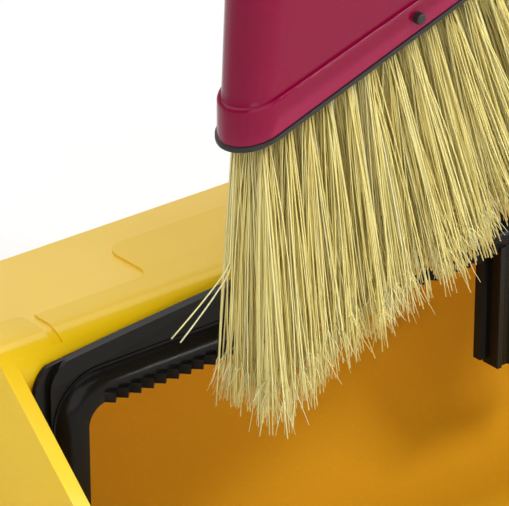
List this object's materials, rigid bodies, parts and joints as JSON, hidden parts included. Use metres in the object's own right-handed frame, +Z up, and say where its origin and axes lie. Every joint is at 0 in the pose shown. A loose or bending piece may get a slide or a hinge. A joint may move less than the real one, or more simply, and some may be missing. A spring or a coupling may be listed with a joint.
{
  "type": "dust pan and brush set",
  "caption": "Upright hooded dust pan with a toothed comb under its hood and a swinging pole handle, with an angle brush held over it.",
  "frame": {"origin": "on the floor at the middle of the pan's footprint, which is also the middle of the whole set", "axes": "+X along the mouth towards the brush's heel, -Y out of the open front, +Z up"},
  "size_m": [0.368, 0.162, 0.96],
  "materials": {
    "pan_yellow": "satin moulded polypropylene",
    "comb_black": "glossy moulded plastic",
    "block_black": "satin moulded plastic",
    "rubber_black": "soft moulded rubber",
    "cap_crimson": "glossy moulded plastic",
    "bristle_straw": "extruded filament with flagged tips",
    "aluminium": "anodised, satin",
    "steel": "zinc plated"
  },
  "bodies": {
    "pan": {"pan_body": "pan_yellow", "front_lip": "rubber_black", "rubber_feet": "rubber_black", "comb_frame": "comb_black", "hinge_bracket": "pan_yellow", "bracket_screws": "steel", "bracket_inserts": "pan_yellow", "swing_pin": "steel", "pin_clips": "steel"},
    "pan_handle": {"handle_yoke": "comb_black", "lock_cover": "comb_black", "lock_cover_screws": "steel", "pan_tube": "aluminium", "tube_rivet": "steel", "pan_grip": "rubber_black", "pan_grip_cap": "cap_crimson", "lock_spring": "steel"},
    "lock": {"lock_slider": "cap_crimson"},
    "brush": {"brush_cap": "cap_crimson", "brush_block": "block_black", "snap_studs": "block_black", "tuft_staples": "steel", "bristles_toe": "bristle_straw", "bristles_middle": "bristle_straw", "bristles_heel": "bristle_straw", "pole_thread": "block_black", "brush_pole": "aluminium", "brush_grip": "rubber_black", "brush_grip_cap": "cap_crimson"}
  },
  "joints": [
    {"name": "handle_swing", "type": "hinge", "parent": "pan", "child": "pan_handle", "pos_m": [0, 0.0575, 0.116], "axis": [-1, 0, 0], "range_deg": [0, 60]},
    {"name": "lock_slide", "type": "slide", "parent": "pan_handle", "child": "lock", "axis": [0, 0, 1], "range_m": [0, 0.006], "stiffness_N_per_m": 300, "springref_m": -0.003, "deforming": ["lock_spring"]},
    {"name": "brush_lift", "type": "slide", "parent": "pan", "child": "brush", "axis": [0, 0, 1], "range_m": [0, 0.3]}
  ]
}
